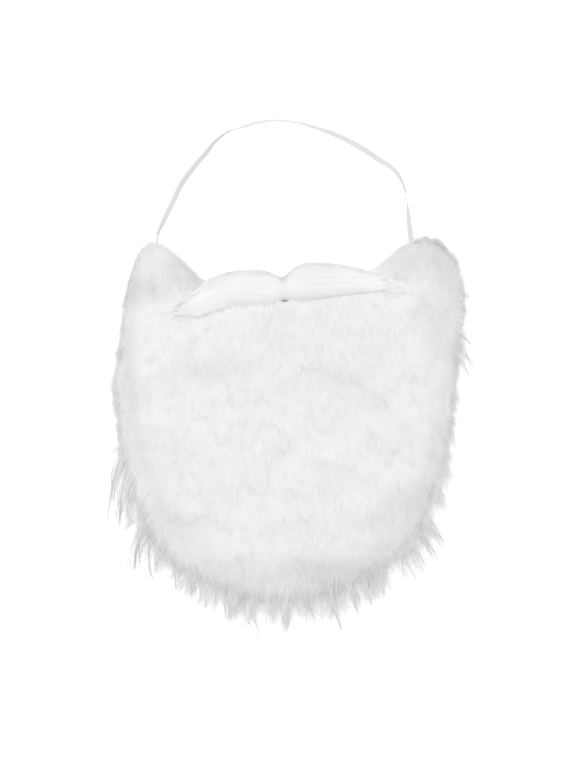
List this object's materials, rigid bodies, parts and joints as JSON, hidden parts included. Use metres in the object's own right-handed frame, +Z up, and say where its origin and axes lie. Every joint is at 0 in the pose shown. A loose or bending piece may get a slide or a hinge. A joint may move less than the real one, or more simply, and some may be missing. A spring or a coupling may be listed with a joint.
{
  "type": "fake beard",
  "caption": "White plush costume beard with a pinched moustache, pointed locks round its rim and an elastic strap from ear to ear, lying flat with the pile upward.",
  "frame": {"origin": "on the surface that it lies on, below the pinch at the middle of the moustache, where the wearer's mouth comes", "axes": "+Z up out of the pile, +Y from the chin towards the ears and the strap, +X to the right as one looks down on the pile"},
  "size_m": [0.3288, 0.4721, 0.0268],
  "materials": {
    "knit": "matt white knitted backing cloth",
    "plush": "soft white long-pile plush, combed down the beard",
    "combed_fibre": "smooth satin white fibre, combed lengthwise",
    "elastic": "matt white woven elastic"
  },
  "bodies": {
    "root": {"backing": "knit", "beard_fur": "plush", "moustache": "combed_fibre", "elastic_strap": "elastic"}
  },
  "joints": []
}
